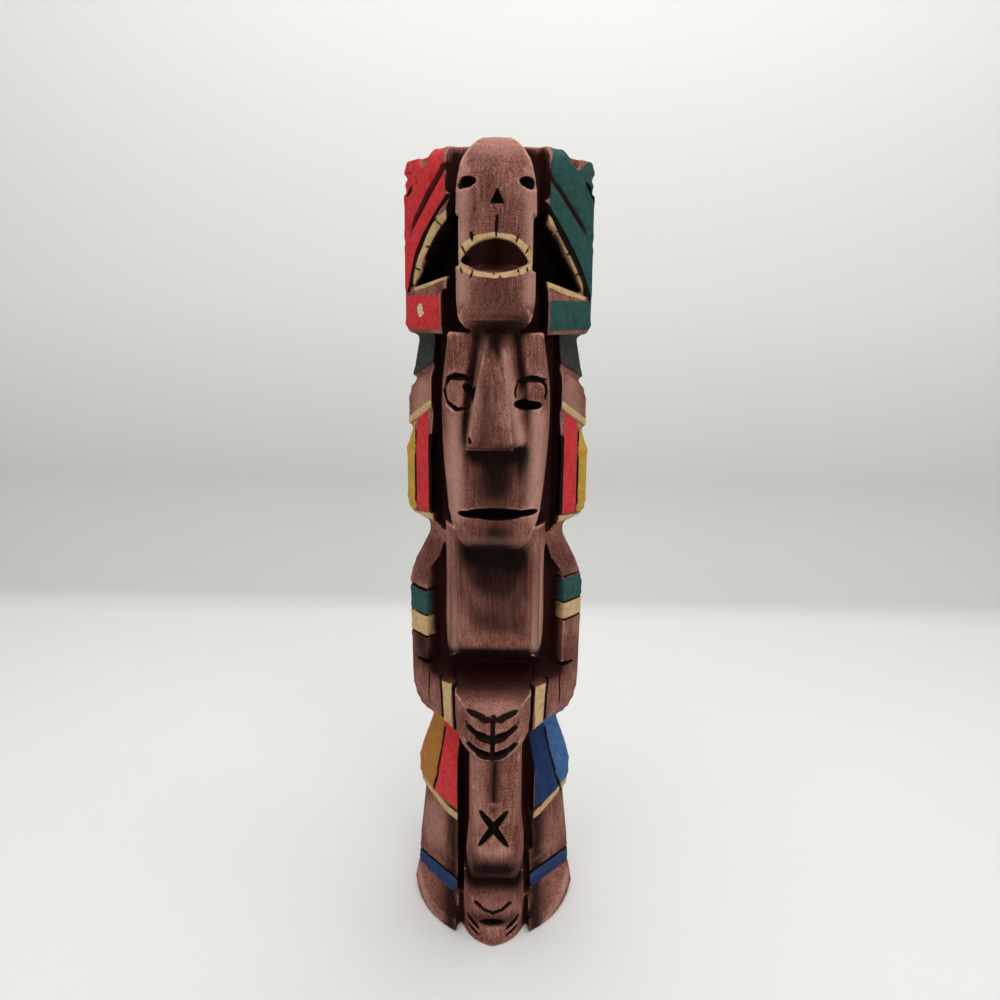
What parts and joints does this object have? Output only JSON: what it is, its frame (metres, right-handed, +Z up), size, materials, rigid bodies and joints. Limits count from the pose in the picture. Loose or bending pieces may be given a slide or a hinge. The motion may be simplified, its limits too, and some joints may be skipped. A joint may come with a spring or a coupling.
{
  "type": "totem pole",
  "caption": "Carved and painted wooden totem pole: beast head over a long-faced mask, a figure with folded hands, a feathered skirt, legs and an upside-down mask at the foot",
  "frame": {"origin": "under the middle of the base, where the pole's bounding box meets the surface it stands on", "axes": "+Z up along the pole, -Y the carved front, +X the viewer's right"},
  "size_m": [0.0704, 0.0726, 0.305],
  "materials": {
    "carved_wood": "red-brown stain, sanded pale on the edges and nearly black in the cuts, with areas of red, green, gold, yellow, ochre and blue paint"
  },
  "bodies": {
    "root": {"totem_pole": "carved_wood"}
  },
  "joints": []
}
